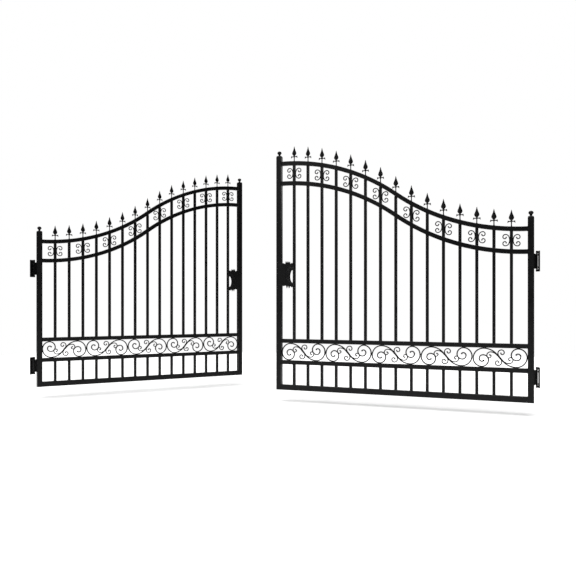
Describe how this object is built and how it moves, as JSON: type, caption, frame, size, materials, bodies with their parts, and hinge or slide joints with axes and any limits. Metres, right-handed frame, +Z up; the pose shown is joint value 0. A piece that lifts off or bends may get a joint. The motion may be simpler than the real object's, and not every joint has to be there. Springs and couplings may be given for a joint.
{
  "type": "double-leaf ornamental driveway gate",
  "caption": "Double-leaf ornamental black steel driveway gate with an arched top, spear finials, a scroll band, scroll pairs, lock plates and pin hinges on both sides.",
  "frame": {"origin": "on the face by which the lower left hinge bracket meets its post, at that bracket's mid height, in the middle plane of the closed gate", "axes": "+X runs from the left post to the right post, +Y is the side the leaves swing towards, +Z is up"},
  "size_m": [4.267, 1.5329, 2.099],
  "materials": {
    "frame_tube": "satin black powder coat on square steel tube",
    "picket_bar": "satin black powder coat on square steel tube",
    "scroll_bar": "satin black powder coat on bent flat bar",
    "cast_ornament": "satin black powder coat on cast steel",
    "hinge_steel": "satin black powder coat on plate and barrel"
  },
  "bodies": {
    "post_brackets": {"left_lower_post_bracket": "hinge_steel", "left_upper_post_bracket": "hinge_steel", "right_lower_post_bracket": "hinge_steel", "right_upper_post_bracket": "hinge_steel"},
    "left_leaf": {"left_hinge_stile": "frame_tube", "left_latch_stile": "frame_tube", "left_hinge_stile_cap": "cast_ornament", "left_latch_stile_cap": "cast_ornament", "left_bottom_rail": "frame_tube", "left_lower_band_rail": "frame_tube", "left_upper_band_rail": "frame_tube", "left_scroll_unit_1": "scroll_bar", "left_scroll_unit_2": "scroll_bar", "left_scroll_unit_3": "scroll_bar", "left_scroll_unit_4": "scroll_bar", "left_scroll_unit_5": "scroll_bar", "left_picket_panel": "picket_bar", "left_arch_rail": "frame_tube", "left_lock_plate": "cast_ornament", "left_lower_gate_hinge": "hinge_steel", "left_upper_gate_hinge": "hinge_steel"},
    "right_leaf": {"right_hinge_stile": "frame_tube", "right_latch_stile": "frame_tube", "right_hinge_stile_cap": "cast_ornament", "right_latch_stile_cap": "cast_ornament", "right_bottom_rail": "frame_tube", "right_lower_band_rail": "frame_tube", "right_upper_band_rail": "frame_tube", "right_scroll_unit_1": "scroll_bar", "right_scroll_unit_2": "scroll_bar", "right_scroll_unit_3": "scroll_bar", "right_scroll_unit_4": "scroll_bar", "right_scroll_unit_5": "scroll_bar", "right_picket_panel": "picket_bar", "right_arch_rail": "frame_tube", "right_lock_plate": "cast_ornament", "right_lower_gate_hinge": "hinge_steel", "right_upper_gate_hinge": "hinge_steel"}
  },
  "joints": [
    {"name": "left_leaf_swing", "type": "hinge", "parent": "post_brackets", "child": "left_leaf", "pos_m": [0.0165, 0.02, 0], "axis": [0, 0, 1], "range_deg": [-45, 45]},
    {"name": "right_leaf_swing", "type": "hinge", "parent": "post_brackets", "child": "right_leaf", "pos_m": [4.2505, 0.02, 0], "axis": [0, 0, -1], "range_deg": [-10, 80]}
  ]
}
